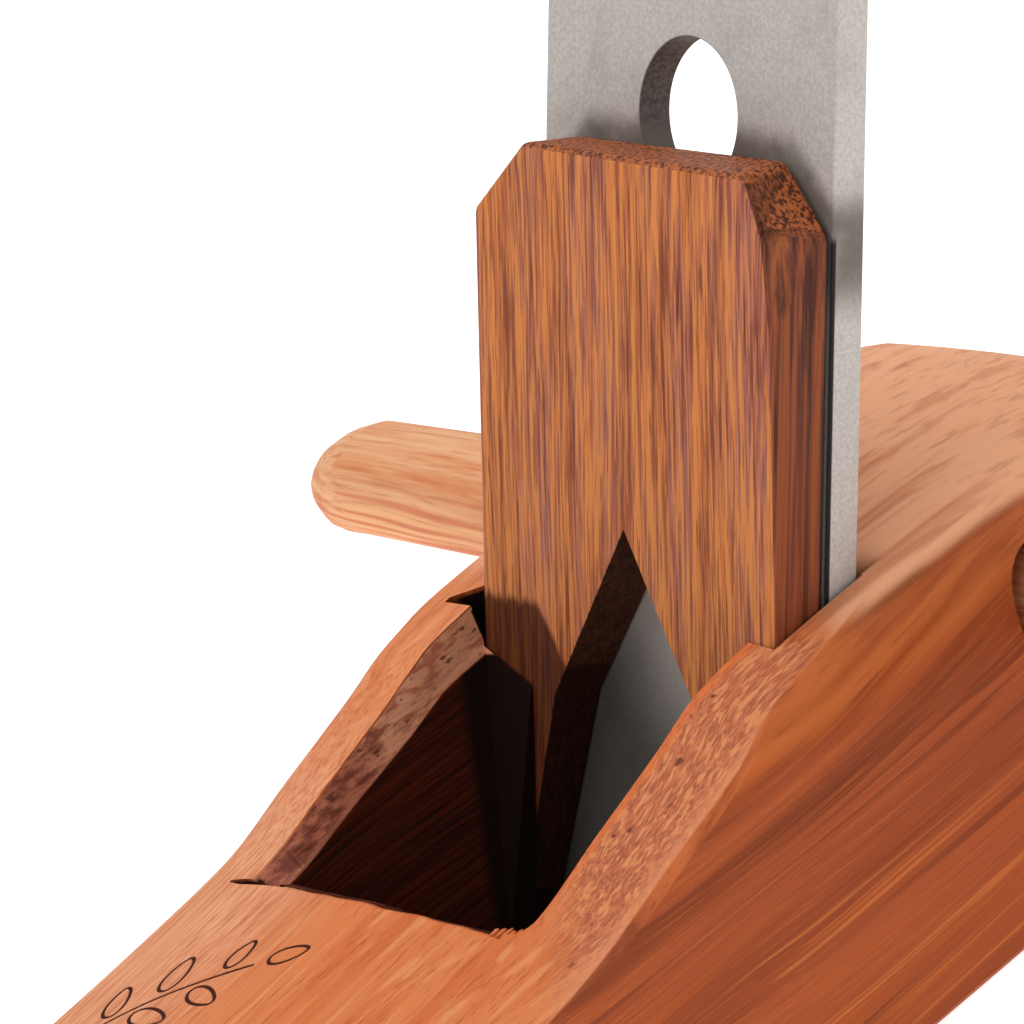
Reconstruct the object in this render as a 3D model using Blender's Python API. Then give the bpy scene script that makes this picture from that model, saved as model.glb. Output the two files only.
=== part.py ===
"""Wooden hand plane with a wedged iron and a push-through cross handle.

Frame: metres, +Z up, +X towards the heel, origin at the centre of the sole.
"""

import math

import bmesh
import bpy
from mathutils import Vector

GAP = 0.0003  # clearance between pieces that touch

# Stock
BODY_LENGTH = 0.180
BODY_WIDTH = 0.0636
HEEL_LENGTH = 0.0725  # mouth to heel
TOE_HEIGHT = 0.0250
DECK_HEIGHT = 0.0297  # at the foot of the ramp
CREST_HEIGHT = 0.0383
HEEL_HEIGHT = 0.0313
RAMP_FOOT = 0.020  # ahead of the mouth
RAMP_TOP = 0.0065  # behind the mouth
CROWN_DROP = 0.0014  # fall of the top surface from the middle to the sides
SHOULDER_FRONT = 0.0058  # radius of the rounded upper edges at the ramp
SHOULDER_REAR = 0.0090  # the same behind the iron
FAR_SHOULDER = 0.0030  # the far side is crisper as far as the crest
FAR_SHOULDER_CREST = 0.0018  # beside the wedge
HEEL_EDGE_RADIUS = 0.005
TOE_EDGE_RADIUS = 0.002
HEEL_CORNER_RADIUS = 0.008
TOE_CORNER_RADIUS = 0.005
SOLE_CHAMFER = 0.0007
SIDE_STEP = 0.0006  # least fall between two points of a section below its arris

# Bed, mouth and throat
BED_ANGLE = math.radians(60.0)
MOUTH_OPENING = 0.0018
LIP_HEIGHT = 0.003
THROAT_REACH = 0.0220  # front edge of the throat, ahead of the mouth
THROAT_HALF_BOTTOM = 0.0152
THROAT_HALF_TOP = 0.0190  # near side, at the front edge
NEAR_CREST_HALF = 0.0183  # near side, against the wedge
FAR_EDGE_HALF = 0.0231  # upper edge of the bevel along the far cheek
FAR_BEVEL_WIDTH = 0.0025  # at the front edge
FAR_BEVEL_DEPTH = 0.0020
FAR_CREST_HALF = 0.0226  # far side, against the wedge, where the bevel is steepest
ABUTMENT_LEVEL = 0.0315  # along the bed, where the abutments reach full width
ABUTMENT_SLOPE = 0.0029  # along the bed, height of their sloped tops
THROAT_CORNER = 0.0022  # cut across the near front corner of the throat

# Iron
IRON_WIDTH = 0.044
IRON_SHIFT = 0.0003  # off centre, towards the far side
IRON_THICKNESS = 0.0038
IRON_LENGTH = 0.122
IRON_RETREAT = 0.00025
IRON_HOLE_RADIUS = 0.0074
IRON_HOLE_HEIGHT = 0.0877  # along the bed, from the mouth
IRON_CORNER = 0.004
IRON_BEVEL_ANGLE = math.radians(28)

# Wedge
WEDGE_WIDTH = 0.0452
WEDGE_SHIFT = 0.0007  # the wedge and its slot lie off centre, towards the far side
WEDGE_TIP = 0.011
WEDGE_TOP = 0.0845
WEDGE_TOP_THICKNESS = 0.0084
WEDGE_TAPER = 0.049
WEDGE_CORNER_ACROSS = 0.0068
WEDGE_CORNER_DOWN = 0.0066
NOTCH_APEX = 0.0482
NOTCH_HALF_ANGLE = math.radians(33)
NOTCH_KNEE = 0.031
LEG_TIP_WIDTH = 0.006
SIDE_CLEARANCE = 0.0006  # slot wall to iron

# Cross handle
HANDLE_LENGTH = 0.175
HANDLE_DEPTH = 0.0122  # along X
HANDLE_HEIGHT = 0.0126
HANDLE_BEHIND_MOUTH = 0.0405
HANDLE_LEVEL = 0.0270
HANDLE_TIP = 0.0110
HANDLE_TIP_SCALE = 0.34
HANDLE_TIP_DROP = 0.0025  # the ends are pared more from above
HANDLE_END_SCALE = 0.93  # section just before the tip, against the middle

TOE_X = -BODY_LENGTH / 2
HEEL_X = BODY_LENGTH / 2
MOUTH_X = HEEL_X - HEEL_LENGTH
UP_BED = Vector((math.cos(BED_ANGLE), 0, math.sin(BED_ANGLE)))
INTO_BED = Vector((math.sin(BED_ANGLE), 0, -math.cos(BED_ANGLE)))
SLOT_HALF = max(IRON_WIDTH, WEDGE_WIDTH) / 2 + SIDE_CLEARANCE / 2
SLOT_SIDES = (WEDGE_SHIFT - SLOT_HALF, WEDGE_SHIFT + SLOT_HALF)
FAR, NEAR = 1, -1


def on_bed(along, into=0.0, across=0.0):
    """A point from its distance up the iron's front face, behind that face and across."""
    return Vector((MOUTH_X, across, 0)) + UP_BED * along + INTO_BED * into


def wedge_thickness(along):
    return WEDGE_TOP_THICKNESS - WEDGE_TAPER * (WEDGE_TOP - along)


def smooth_curve(points, x):
    """Height at x on a monotone cubic through the points, which rise in x."""
    slopes = [(b[1] - a[1]) / (b[0] - a[0]) for a, b in zip(points, points[1:])]
    tangents = [slopes[0]]
    for before, after in zip(slopes, slopes[1:]):
        same_way = before * after > 0
        tangents.append(2 * before * after / (before + after) if same_way else 0.0)
    tangents.append(slopes[-1])
    x = min(max(x, points[0][0]), points[-1][0])
    i = max(k for k in range(len(points) - 1) if points[k][0] <= x)
    width = points[i + 1][0] - points[i][0]
    t = (x - points[i][0]) / width
    start = (1 + 2 * t) * (1 - t) ** 2 * points[i][1] + t * (1 - t) ** 2 * width * tangents[i]
    end = t * t * (3 - 2 * t) * points[i + 1][1] - t * t * (1 - t) * width * tangents[i + 1]
    return start + end


CREST_X = MOUTH_X + RAMP_TOP + 0.018
RISE = CREST_HEIGHT - DECK_HEIGHT
HEEL_FALL = CREST_HEIGHT - HEEL_HEIGHT
TOP_PROFILE = [
    (TOE_X, TOE_HEIGHT),
    (MOUTH_X - RAMP_FOOT - 0.025, DECK_HEIGHT - 0.0020),
    (MOUTH_X - RAMP_FOOT - 0.010, DECK_HEIGHT - 0.0010),
    (MOUTH_X - RAMP_FOOT, DECK_HEIGHT),
    (MOUTH_X - 0.5 * RAMP_FOOT, DECK_HEIGHT + 0.33 * RISE),
    (MOUTH_X, DECK_HEIGHT + 0.66 * RISE),
    (MOUTH_X + RAMP_TOP, CREST_HEIGHT - 0.0009),
    (MOUTH_X + RAMP_TOP + 0.0055, CREST_HEIGHT - 0.0003),
    (CREST_X, CREST_HEIGHT),
    (MOUTH_X + 0.52 * HEEL_LENGTH, CREST_HEIGHT - 0.07 * HEEL_FALL),
    (MOUTH_X + 0.76 * HEEL_LENGTH, CREST_HEIGHT - 0.40 * HEEL_FALL),
    (HEEL_X, HEEL_HEIGHT),
]


def rounded_off(distance, radius):
    """How far a quarter-round edge has fallen at this distance in from the end."""
    if distance >= radius:
        return 0.0
    return radius - math.sqrt(max(radius**2 - (radius - distance) ** 2, 0.0))


def middle_height(x):
    fall = rounded_off(HEEL_X - x, HEEL_EDGE_RADIUS) + rounded_off(x - TOE_X, TOE_EDGE_RADIUS)
    return smooth_curve(TOP_PROFILE, x) - fall


def half_width(x):
    fall = rounded_off(HEEL_X - x, HEEL_CORNER_RADIUS) + rounded_off(x - TOE_X, TOE_CORNER_RADIUS)
    return BODY_WIDTH / 2 - fall


def top_height(x, y):
    return middle_height(x) - CROWN_DROP * (2 * y / BODY_WIDTH) ** 2


def shoulder_radius(x, side):
    """Radius of the upper edge on one side, growing towards the heel."""

    def blend(low, high, start, end):
        t = min(max((x - start) / (end - start), 0.0), 1.0)
        return low + (high - low) * t * t * (3 - 2 * t)

    if side == NEAR:
        return blend(SHOULDER_FRONT, SHOULDER_REAR, MOUTH_X, CREST_X)
    if x < CREST_X:
        return blend(FAR_SHOULDER, FAR_SHOULDER_CREST, MOUTH_X + 0.004, MOUTH_X + 0.014)
    return blend(FAR_SHOULDER_CREST, SHOULDER_REAR, CREST_X, CREST_X + 0.016)


def shoulder_height(x, y, side):
    """Height of the rounded shoulder. The near one runs level from the toe to the crest."""
    radius = shoulder_radius(x, side)
    inner = half_width(x) - radius
    out = min(max(abs(y) - inner, 0.0), radius)
    level = top_height(max(x, CREST_X) if side == NEAR else x, inner)
    return level - radius + math.sqrt(radius**2 - out**2)


def arris_half(x, side):
    """Distance from the middle to where the top surface meets the shoulder."""
    low = half_width(x) - shoulder_radius(x, side)
    high = half_width(x)
    for _ in range(30):
        middle = (low + high) / 2
        if top_height(x, middle) <= shoulder_height(x, middle, side):
            low = middle
        else:
            high = middle
    return low


def body_section(x, side, top_steps=8, shoulder_steps=5):
    """Section of one side, from the middle of the top round to the edge of the sole."""
    half = half_width(x)
    arris = arris_half(x, side)
    points = []
    for i in range(top_steps + 1):
        y = arris * i / top_steps
        points.append((y, top_height(x, y)))
    radius = shoulder_radius(x, side)
    inner = half - radius
    start = math.asin(min(max((arris - inner) / radius, 0.0), 1.0))
    for i in range(1, shoulder_steps + 1):
        angle = start + (math.pi / 2 - start) * i / shoulder_steps
        y = inner + radius * math.sin(angle)
        points.append((y, min(shoulder_height(x, y, side), points[top_steps][1] - SIDE_STEP * i)))
    points.append((half, SOLE_CHAMFER))
    points.append((half - SOLE_CHAMFER, 0.0))
    return points


def end_stations(end, inward, radius, count=5):
    return [end + inward * radius * (1 - math.cos(math.pi / 2 * i / count)) for i in range(count)]


def body_stations():
    first = end_stations(TOE_X, 1, TOE_CORNER_RADIUS)
    last = end_stations(HEEL_X, -1, HEEL_CORNER_RADIUS)
    start = TOE_X + TOE_CORNER_RADIUS
    foot = MOUTH_X - RAMP_FOOT - 0.010
    stations = first + [start + (foot - start) * i / 8 for i in range(8)]
    stations += [foot + (CREST_X - foot) * i / 22 for i in range(22)]
    end = HEEL_X - HEEL_CORNER_RADIUS
    stations += [CREST_X + (end - CREST_X) * i / 9 for i in range(10)]
    return stations + last[::-1]


def new_object(name, mesh_data, material=None):
    mesh = bpy.data.meshes.new(name)
    mesh_data.to_mesh(mesh)
    mesh_data.free()
    obj = bpy.data.objects.new(name, mesh)
    bpy.context.scene.collection.objects.link(obj)
    if material:
        mesh.materials.append(material)
        mesh.shade_smooth()
        mesh.set_sharp_from_angle(angle=math.radians(30))
    return obj


def loft(rings):
    """Closed body through rings of equal length, capped at both ends."""
    work = bmesh.new()
    rows = [[work.verts.new(point) for point in ring] for ring in rings]
    for row, after in zip(rows, rows[1:]):
        for i in range(len(row)):
            j = (i + 1) % len(row)
            work.faces.new((row[i], row[j], after[j], after[i]))
    work.faces.new(rows[0][::-1])
    work.faces.new(rows[-1])
    bmesh.ops.recalc_face_normals(work, faces=work.faces)
    return work


def hull(points):
    work = bmesh.new()
    for point in points:
        work.verts.new(point)
    made = bmesh.ops.convex_hull(work, input=work.verts)
    inside = [item for item in made["geom_interior"] if isinstance(item, bmesh.types.BMVert)]
    bmesh.ops.delete(work, geom=inside, context="VERTS")
    bmesh.ops.recalc_face_normals(work, faces=work.faces)
    return work


def subtract(obj, cutter):
    cutter.hide_render = True
    cutter.display_type = "WIRE"
    cut = obj.modifiers.new(cutter.name, "BOOLEAN")
    cut.operation = "DIFFERENCE"
    cut.solver = "EXACT"
    cut.object = cutter


def material(name, colour, roughness, metallic=0.0):
    made = bpy.data.materials.new(name)
    made.use_nodes = True
    shader = made.node_tree.nodes["Principled BSDF"]
    shader.inputs["Base Color"].default_value = (*colour, 1)
    shader.inputs["Roughness"].default_value = roughness
    shader.inputs["Metallic"].default_value = metallic
    return made


def slot_cutter():
    """Slanted slot that holds the iron and the wedge, narrowing to the mouth."""
    high = CREST_HEIGHT + 0.030
    back = IRON_THICKNESS + GAP
    outline = [
        on_bed(-0.008, back),
        on_bed(high, back),
        on_bed(high, -wedge_thickness(high) - GAP),
        on_bed(WEDGE_TIP - 0.002, -wedge_thickness(WEDGE_TIP - 0.002) - GAP),
        on_bed(0.0, -MOUTH_OPENING * math.sin(BED_ANGLE)),
        on_bed(-0.005, -MOUTH_OPENING * math.sin(BED_ANGLE) / 4),
    ]
    return hull([(p.x, y, p.z) for p in outline for y in SLOT_SIDES])


def front_wall(z):
    """X of the throat's front wall at height z."""
    lip_x = MOUTH_X - MOUTH_OPENING
    edge_x = MOUTH_X - THROAT_REACH
    edge_z = top_height(edge_x, 0)
    return lip_x + (edge_x - lip_x) * max(z - LIP_HEIGHT, 0) / (edge_z - LIP_HEIGHT)


def slot_face(along):
    """Point on the abutments' face, against the front of the wedge."""
    return on_bed(along, -wedge_thickness(along) - GAP)


def throat_cutter():
    """Escapement between the abutments, from the mouth to the open top."""
    overlap = 0.0020  # reach past the abutments' face, inside the slot
    high = CREST_HEIGHT + 0.020
    outline = [
        Vector((front_wall(LIP_HEIGHT), 0, LIP_HEIGHT)),
        Vector((front_wall(high), 0, high)),
        slot_face(high) + INTO_BED * overlap,
        slot_face(WEDGE_TIP) + INTO_BED * overlap,
        on_bed(0.003, -0.0004),
    ]
    return hull([(p.x, side * THROAT_HALF_BOTTOM, p.z) for p in outline for side in (-1, 1)])


def mouth_cutter():
    """Mouth ahead of the iron, as wide as the slot."""
    ahead = MOUTH_X - MOUTH_OPENING
    behind = MOUTH_X + 0.002
    high = LIP_HEIGHT + 0.002
    corners = [(ahead, -0.002), (ahead, LIP_HEIGHT), (behind, -0.002), (behind + 0.001, high)]
    return hull([(x, y, z) for x, z in corners for y in SLOT_SIDES])


def funnel_cutter(side, half_top, half_crest, drop, corner):
    """Upper flare of the throat on one side, down to the sloped top of its abutment."""
    edge_x = MOUTH_X - THROAT_REACH
    rise = 0.020
    foot = on_bed(0.008, -wedge_thickness(0.008))
    low = Vector((foot.x - 0.004, THROAT_HALF_BOTTOM, foot.z))

    def beyond(point, half):
        return low + (Vector((point.x, half, point.z)) - low) * 1.05

    full = beyond(slot_face(ABUTMENT_LEVEL), THROAT_HALF_BOTTOM)
    crest = beyond(slot_face(ABUTMENT_LEVEL + ABUTMENT_SLOPE), half_crest)
    above = slot_face(ABUTMENT_LEVEL + ABUTMENT_SLOPE + rise) + INTO_BED * 0.0006
    front = front_wall(top_height(edge_x, 0) - drop)
    front_z = top_height(edge_x, half_top) - drop
    back = crest.x - 0.0035
    corners = [
        tuple(low),
        tuple(full),
        (front, half_top - corner, front_z),
        (front + corner, half_top, front_z),
        (front - 0.4 * rise, half_top - corner, front_z + drop + rise),
        (front + corner, half_top, front_z + drop + rise),
        (back, min(half_top, half_crest), top_height(back, half_top) - drop),
        tuple(crest),
        (above.x, half_crest, above.z),
    ]
    flare = [(x, side * y, z) for x, y, z in corners]
    middle = [(x, 0.0, z) for x, y, z in corners]
    return hull(flare + middle)


def bevel_cutter(side):
    """Bevel along the top edge of the far cheek, steeper towards the wedge."""
    first = MOUTH_X - THROAT_REACH - 0.0002
    crest = slot_face(ABUTMENT_LEVEL + ABUTMENT_SLOPE)
    last = crest.x + 0.002
    low_half = FAR_EDGE_HALF - FAR_BEVEL_WIDTH
    low_z = top_height(first, FAR_EDGE_HALF) - FAR_BEVEL_DEPTH
    rings = []
    for i in range(37):
        t = i / 36
        x = first + (last - first) * t
        half = FAR_EDGE_HALF + (FAR_CREST_HALF + 0.0002 - FAR_EDGE_HALF) * t
        upper = Vector((half, top_height(x, half)))
        lower = Vector((low_half + (FAR_CREST_HALF - low_half) * t, low_z + (crest.z - low_z) * t))
        way = (upper - lower).normalized()
        outer = upper + way * 0.0011
        inner = lower - way * (0.0011 * (1 - t) + 0.0001)
        high = upper.y + 0.004
        ring = [tuple(outer), (outer.x, high), (inner.x - 0.0012, high), tuple(inner)]
        rings.append([(x, side * y, z) for y, z in ring])
    return loft(rings)


def handle_ring(y, scale, spare=0.0, lower=0.0, count=24):
    """Section of the cross handle: an ellipse drawn out towards a rounded square."""
    ring = []
    for i in range(count):
        angle = 2 * math.pi * (i + 0.5) / count
        c, s = math.cos(angle), math.sin(angle)
        x = (HANDLE_DEPTH / 2 * scale + spare) * math.copysign(abs(c) ** 0.86, c)
        z = (HANDLE_HEIGHT / 2 * scale + spare) * math.copysign(abs(s) ** 0.86, s)
        ring.append((MOUTH_X + HANDLE_BEHIND_MOUTH + x, y, HANDLE_LEVEL - lower + z))
    return ring


def make_stock(wood):
    rings = []
    for x in body_stations():
        ring = [(x, y, z) for y, z in body_section(x, FAR)]
        ring += [(x, -y, z) for y, z in body_section(x, NEAR)[:0:-1]]
        rings.append(ring)
    stock = new_object("stock", loft(rings), wood)
    far_half = FAR_EDGE_HALF - FAR_BEVEL_WIDTH
    mortise = loft([handle_ring(y, 1.0, GAP) for y in (-BODY_WIDTH, BODY_WIDTH)])
    cutters = {
        "slot_cutter": slot_cutter(),
        "throat_cutter": throat_cutter(),
        "mouth_cutter": mouth_cutter(),
        "far_funnel_cutter": funnel_cutter(FAR, far_half, FAR_CREST_HALF, FAR_BEVEL_DEPTH, 0.0002),
        "near_funnel_cutter": funnel_cutter(
            NEAR, THROAT_HALF_TOP, NEAR_CREST_HALF, 0.0, THROAT_CORNER
        ),
        "bevel_cutter": bevel_cutter(FAR),
        "mortise_cutter": mortise,
    }
    for name, shape in cutters.items():
        subtract(stock, new_object(name, shape))


def make_iron(steel):
    """Iron with its bevel on the bed side, so the cutting edge is on the front face."""
    half = IRON_WIDTH / 2
    heel = IRON_RETREAT + IRON_THICKNESS / math.tan(IRON_BEVEL_ANGLE)
    front = [
        (IRON_RETREAT, -half),
        (IRON_RETREAT, half),
        (IRON_LENGTH - IRON_CORNER, half),
        (IRON_LENGTH, half - IRON_CORNER),
        (IRON_LENGTH, IRON_CORNER - half),
        (IRON_LENGTH - IRON_CORNER, -half),
    ]
    shift = IRON_SHIFT
    work_rings = [[on_bed(along, 0.0, shift + across) for along, across in front]]
    back = [(heel, across) if along == IRON_RETREAT else (along, across) for along, across in front]
    work_rings.append([on_bed(along, IRON_THICKNESS, shift + across) for along, across in back])
    iron = new_object("iron", loft(work_rings), steel)
    rings = []
    for into in (-0.002, IRON_THICKNESS + 0.002):
        angles = [2 * math.pi * i / 48 for i in range(48)]
        rings.append(
            [
                on_bed(
                    IRON_HOLE_HEIGHT + IRON_HOLE_RADIUS * math.sin(a),
                    into,
                    shift + IRON_HOLE_RADIUS * math.cos(a),
                )
                for a in angles
            ]
        )
    subtract(iron, new_object("iron_hole_cutter", loft(rings)))


def make_wedge(wood):
    """Forked wedge: a parallel head, a notch for the shavings and two legs."""
    half = WEDGE_WIDTH / 2
    knee = (NOTCH_APEX - NOTCH_KNEE) * math.tan(NOTCH_HALF_ANGLE)
    right = [
        (NOTCH_APEX, 0.0),
        (NOTCH_KNEE, knee),
        (WEDGE_TIP, half - LEG_TIP_WIDTH),
        (WEDGE_TIP, half),
        (WEDGE_TOP - WEDGE_CORNER_DOWN, half),
        (WEDGE_TOP, half - WEDGE_CORNER_ACROSS),
    ]
    outline = right + [(along, -across) for along, across in right[:0:-1]]
    rings = [
        [on_bed(along, -GAP, WEDGE_SHIFT + across) for along, across in outline],
        [on_bed(along, -wedge_thickness(along), WEDGE_SHIFT + across) for along, across in outline],
    ]
    wedge = new_object("wedge", loft(rings), wood)
    soften = wedge.modifiers.new("soften", "BEVEL")
    soften.width = 0.0004
    soften.segments = 1
    soften.limit_method = "ANGLE"
    soften.angle_limit = math.radians(60)


def make_cross_handle(wood):
    """Bar with straight flanks in the stock, slightly thinner ends and pared tips."""
    half = HANDLE_LENGTH / 2
    straight = BODY_WIDTH / 2 + HANDLE_TIP
    half_stations = [
        (-half, HANDLE_TIP_SCALE, HANDLE_TIP_DROP),
        (-half + 0.11 * HANDLE_TIP, 0.50, 0.84 * HANDLE_TIP_DROP),
        (-half + 0.36 * HANDLE_TIP, 0.73, 0.54 * HANDLE_TIP_DROP),
        (-half + 0.64 * HANDLE_TIP, 0.86, 0.26 * HANDLE_TIP_DROP),
        (-half + HANDLE_TIP, HANDLE_END_SCALE, 0.0),
        (-straight, 1.0, 0.0),
    ]
    stations = half_stations + [(-y, scale, drop) for y, scale, drop in half_stations[::-1]]
    rings = [handle_ring(y, scale, lower=drop) for y, scale, drop in stations]
    new_object("cross_handle", loft(rings), wood)


def main():
    for obj in list(bpy.data.objects):
        bpy.data.objects.remove(obj)
    make_stock(material("stock_rosewood", (0.44, 0.15, 0.06), 0.5))
    make_iron(material("iron_steel", (0.45, 0.43, 0.40), 0.42, 1.0))
    make_wedge(material("wedge_rosewood", (0.36, 0.14, 0.07), 0.55))
    make_cross_handle(material("handle_wood", (0.70, 0.38, 0.18), 0.55))


main()
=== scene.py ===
"""Looks of a wooden hand plane: stock, iron, forked wedge and cross handle."""

import functools
import math

import bmesh
import bpy
from mathutils import Matrix, Vector, noise


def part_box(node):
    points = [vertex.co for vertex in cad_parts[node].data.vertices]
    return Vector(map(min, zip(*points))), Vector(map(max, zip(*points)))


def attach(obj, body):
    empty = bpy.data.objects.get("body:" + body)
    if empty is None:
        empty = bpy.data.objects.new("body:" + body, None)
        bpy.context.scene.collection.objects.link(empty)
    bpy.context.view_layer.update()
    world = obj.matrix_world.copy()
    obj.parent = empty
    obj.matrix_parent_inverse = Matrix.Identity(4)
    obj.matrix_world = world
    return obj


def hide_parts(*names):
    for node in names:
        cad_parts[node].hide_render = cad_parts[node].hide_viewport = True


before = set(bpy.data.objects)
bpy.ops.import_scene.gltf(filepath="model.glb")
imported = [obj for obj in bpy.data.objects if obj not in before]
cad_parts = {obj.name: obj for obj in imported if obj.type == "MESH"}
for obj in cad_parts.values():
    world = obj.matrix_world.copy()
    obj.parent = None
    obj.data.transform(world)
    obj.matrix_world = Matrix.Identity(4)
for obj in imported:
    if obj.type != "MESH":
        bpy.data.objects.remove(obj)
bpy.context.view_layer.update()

# Stock, in metres, in the frame of the CAD
stock_low, stock_high = (Vector(corner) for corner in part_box("stock"))
TOE_X, HEEL_X = stock_low.x, stock_high.x
BODY_WIDTH = stock_high.y - stock_low.y
CREST_HEIGHT = stock_high.z
HEEL_LENGTH = 0.0725
TOE_HEIGHT = 0.0250
DECK_HEIGHT = 0.0297
HEEL_HEIGHT = 0.0313
RAMP_FOOT = 0.020
RAMP_TOP = 0.0065
CROWN_DROP = 0.0014
SHOULDER_FRONT = 0.0058
SHOULDER_REAR = 0.0090
FAR_SHOULDER = 0.0030  # the far side is crisper as far as the crest
FAR_SHOULDER_CREST = 0.0018  # beside the wedge
HEEL_EDGE_RADIUS = 0.005
TOE_EDGE_RADIUS = 0.002
HEEL_CORNER_RADIUS = 0.008
TOE_CORNER_RADIUS = 0.005
SOLE_CHAMFER = 0.0007
GAP = 0.0003

BED_ANGLE = math.radians(60.0)
MOUTH_OPENING = 0.0018
LIP_HEIGHT = 0.003
THROAT_REACH = 0.0220
THROAT_HALF_BOTTOM = 0.0152
THROAT_HALF_TOP = 0.0190
FAR_EDGE_HALF = 0.0231
FAR_BEVEL_WIDTH = 0.0025
FAR_BEVEL_DEPTH = 0.0020
FAR_CREST_HALF = 0.0226
NEAR_CREST_HALF = 0.0183
ABUTMENT_LEVEL = 0.0315  # distance up the bed at which the abutments lean back
ABUTMENT_SLOPE = 0.0029
THROAT_CORNER = 0.0022  # radius of its near front corner

IRON_WIDTH = 0.044
IRON_SHIFT = 0.0003
IRON_THICKNESS = 0.0038
IRON_LENGTH = 0.122
IRON_RETREAT = 0.00025
IRON_HOLE_RADIUS = 0.0074
IRON_HOLE_HEIGHT = 0.0877
IRON_CORNER = 0.004
IRON_BEVEL_ANGLE = math.radians(28)

WEDGE_WIDTH = 0.0452
WEDGE_SHIFT = 0.0007
WEDGE_TIP = 0.011
WEDGE_TOP = 0.0845
WEDGE_TOP_THICKNESS = 0.0084
WEDGE_TAPER = 0.049
WEDGE_CORNER_ACROSS = 0.0068
WEDGE_CORNER_DOWN = 0.0066
NOTCH_APEX = 0.0482
NOTCH_HALF_ANGLE = math.radians(33)
NOTCH_KNEE = 0.031
LEG_TIP_WIDTH = 0.006
SIDE_CLEARANCE = 0.0006

PARED_HALF = 0.0219  # shallow paring behind the iron
PARED_REACH = 0.014
PARED_DEPTH = 0.0006

HANDLE_LENGTH = 0.175
HANDLE_DEPTH = 0.0122
HANDLE_HEIGHT = 0.0126
HANDLE_BEHIND_MOUTH = 0.0405
HANDLE_LEVEL = 0.0270
HANDLE_TIP = 0.0110
HANDLE_TIP_SCALE = 0.34
HANDLE_TIP_DROP = 0.0025
HANDLE_END_SCALE = 0.93
HANDLE_ROUNDNESS = 0.86  # 1 would make its section an ellipse

MOUTH_X = HEEL_X - HEEL_LENGTH
UP_BED = Vector((math.cos(BED_ANGLE), 0, math.sin(BED_ANGLE)))
INTO_BED = Vector((math.sin(BED_ANGLE), 0, -math.cos(BED_ANGLE)))
SLOT_HALF = max(IRON_WIDTH, WEDGE_WIDTH) / 2 + SIDE_CLEARANCE / 2
SLOT_SIDES = (WEDGE_SHIFT - SLOT_HALF, WEDGE_SHIFT + SLOT_HALF)
CREST_X = MOUTH_X + RAMP_TOP + 0.018
RISE = CREST_HEIGHT - DECK_HEIGHT
HEEL_FALL = CREST_HEIGHT - HEEL_HEIGHT
FAR, NEAR = 1, -1
MM = 0.001
EASED_EDGE = math.radians(34)  # edges sharper than this are eased

SPRIG_FOOT = (-0.0290, 0.0235)
SPRIG_LENGTH = 0.0150
SPRIG_BOW = 0.0022
SPRIG_SPREAD = math.radians(52)
SPRIG_LEAVES = (  # place along the stem, side and length of each leaf
    (0.16, 1, 0.0046),
    (0.30, -1, 0.0050),
    (0.46, 1, 0.0050),
    (0.62, -1, 0.0046),
    (0.76, 1, 0.0040),
    (0.93, 0, 0.0044),
)
GROOVE_HALF = 0.00034
GROOVE_DEPTH = 0.00036
GROOVE_LIFT = 0.00012
FIBRES = (  # x, y and reach of each torn fibre
    (-0.0046, -0.0152, 0.0011),
    (-0.0045, -0.0160, 0.0014),
    (-0.0044, -0.0167, 0.0017),
    (-0.0044, -0.0174, 0.0013),
    (-0.0042, -0.0181, 0.0016),
    (-0.0036, -0.0187, 0.0012),
    (-0.0026, -0.0190, 0.0015),
    (-0.0018, -0.0191, 0.0013),
    (-0.0009, -0.0191, 0.0010),
)


# ---------------- shapes


def on_bed(along, into=0.0, across=0.0):
    return Vector((MOUTH_X, across, 0)) + UP_BED * along + INTO_BED * into


def wedge_thickness(along):
    return WEDGE_TOP_THICKNESS - WEDGE_TAPER * (WEDGE_TOP - along)


def smooth_curve(points, x):
    """Height at x on a monotone cubic through the points, which rise in x."""
    slopes = [(b[1] - a[1]) / (b[0] - a[0]) for a, b in zip(points, points[1:])]
    tangents = [slopes[0]]
    for before, after in zip(slopes, slopes[1:]):
        same_way = before * after > 0
        tangents.append(2 * before * after / (before + after) if same_way else 0.0)
    tangents.append(slopes[-1])
    x = min(max(x, points[0][0]), points[-1][0])
    i = max(k for k in range(len(points) - 1) if points[k][0] <= x)
    width = points[i + 1][0] - points[i][0]
    t = (x - points[i][0]) / width
    start = (1 + 2 * t) * (1 - t) ** 2 * points[i][1] + t * (1 - t) ** 2 * width * tangents[i]
    end = t * t * (3 - 2 * t) * points[i + 1][1] - t * t * (1 - t) * width * tangents[i + 1]
    return start + end


TOP_PROFILE = [
    (TOE_X, TOE_HEIGHT),
    (MOUTH_X - RAMP_FOOT - 0.025, DECK_HEIGHT - 0.0020),
    (MOUTH_X - RAMP_FOOT - 0.010, DECK_HEIGHT - 0.0010),
    (MOUTH_X - RAMP_FOOT, DECK_HEIGHT),
    (MOUTH_X - 0.5 * RAMP_FOOT, DECK_HEIGHT + 0.33 * RISE),
    (MOUTH_X, DECK_HEIGHT + 0.66 * RISE),
    (MOUTH_X + RAMP_TOP, CREST_HEIGHT - 0.0009),
    (MOUTH_X + RAMP_TOP + 0.0055, CREST_HEIGHT - 0.0003),
    (CREST_X, CREST_HEIGHT),
    (MOUTH_X + 0.52 * HEEL_LENGTH, CREST_HEIGHT - 0.07 * HEEL_FALL),
    (MOUTH_X + 0.76 * HEEL_LENGTH, CREST_HEIGHT - 0.40 * HEEL_FALL),
    (HEEL_X, HEEL_HEIGHT),
]


def rounded_off(distance, radius):
    """How far a quarter-round edge has fallen at this distance in from the end."""
    if distance >= radius:
        return 0.0
    return radius - math.sqrt(max(radius**2 - (radius - distance) ** 2, 0.0))


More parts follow.
